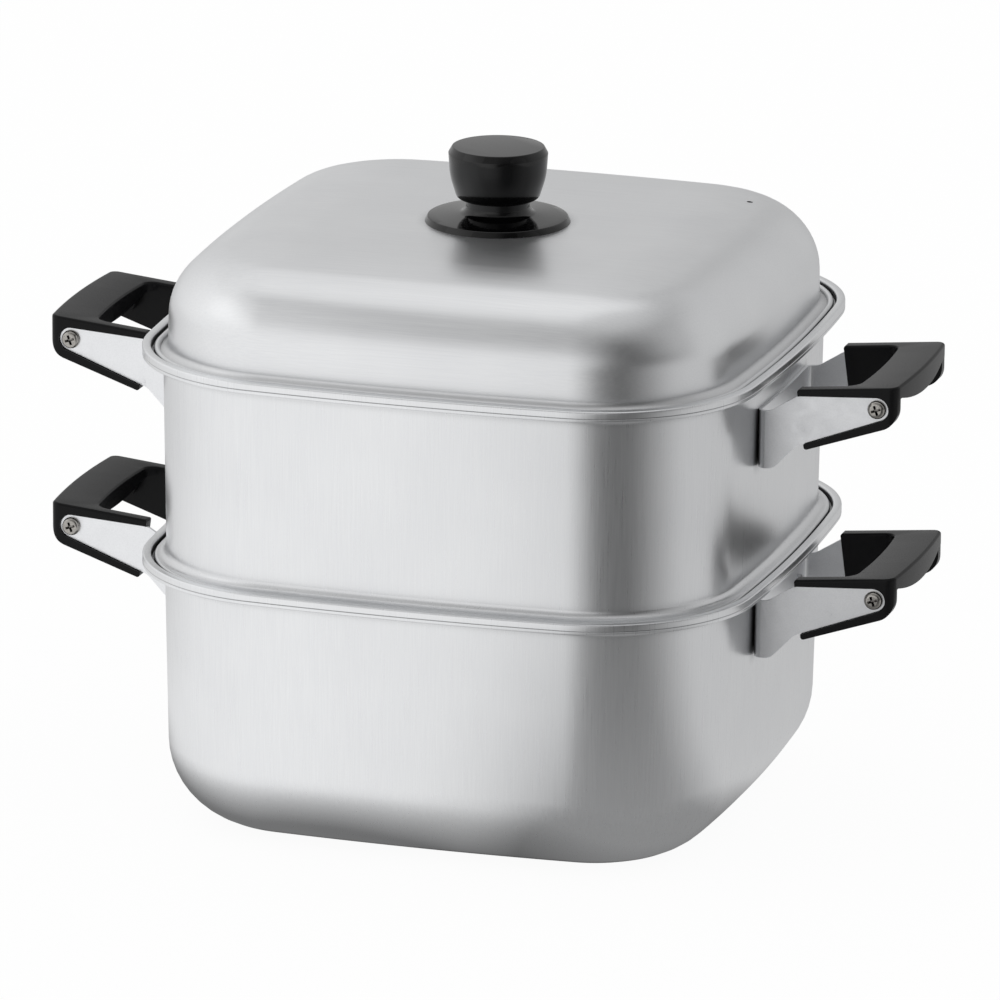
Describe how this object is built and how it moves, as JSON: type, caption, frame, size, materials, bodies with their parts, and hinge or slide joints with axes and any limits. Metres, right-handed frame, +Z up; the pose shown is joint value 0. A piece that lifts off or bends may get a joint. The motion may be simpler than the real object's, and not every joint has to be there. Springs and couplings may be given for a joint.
{
  "type": "steamer pot",
  "caption": "Rounded square steamer pot: a water pot, a perforated steaming tier and a domed lid with a knob, stacked, with black side grips on bent metal brackets.",
  "frame": {"origin": "centre of the pot's flat bottom, on the surface it stands on", "axes": "+Z up through the stack; +X towards the right-hand handles; +Y towards the back"},
  "size_m": [0.4034, 0.29, 0.3028],
  "materials": {
    "satin_aluminium": "satin, finely brushed",
    "bracket_aluminium": "satin",
    "rivet_aluminium": "pressed",
    "black_phenolic": "moulded, semi-gloss",
    "plated_steel": "nickel plated",
    "brass": "machined"
  },
  "bodies": {
    "pot": {"lower_pot": "satin_aluminium", "lower_left_bracket": "bracket_aluminium", "lower_left_grip": "black_phenolic", "lower_left_inserts": "brass", "lower_left_screws": "plated_steel", "lower_left_rivets": "rivet_aluminium", "lower_right_bracket": "bracket_aluminium", "lower_right_grip": "black_phenolic", "lower_right_inserts": "brass", "lower_right_screws": "plated_steel", "lower_right_rivets": "rivet_aluminium"},
    "tier": {"steamer_tier": "satin_aluminium", "upper_left_bracket": "bracket_aluminium", "upper_left_grip": "black_phenolic", "upper_left_inserts": "brass", "upper_left_screws": "plated_steel", "upper_left_rivets": "rivet_aluminium", "upper_right_bracket": "bracket_aluminium", "upper_right_grip": "black_phenolic", "upper_right_inserts": "brass", "upper_right_screws": "plated_steel", "upper_right_rivets": "rivet_aluminium"},
    "cover": {"lid": "satin_aluminium", "knob_base": "black_phenolic", "knob_head": "black_phenolic", "knob_insert": "brass", "knob_washer": "plated_steel", "knob_screw": "plated_steel"}
  },
  "joints": [
    {"name": "tier_lift", "type": "slide", "parent": "pot", "child": "tier", "axis": [0, 0, 1], "range_m": [0, 0.12]},
    {"name": "lid_lift", "type": "slide", "parent": "tier", "child": "cover", "axis": [0, 0, 1], "range_m": [0, 0.1]}
  ]
}
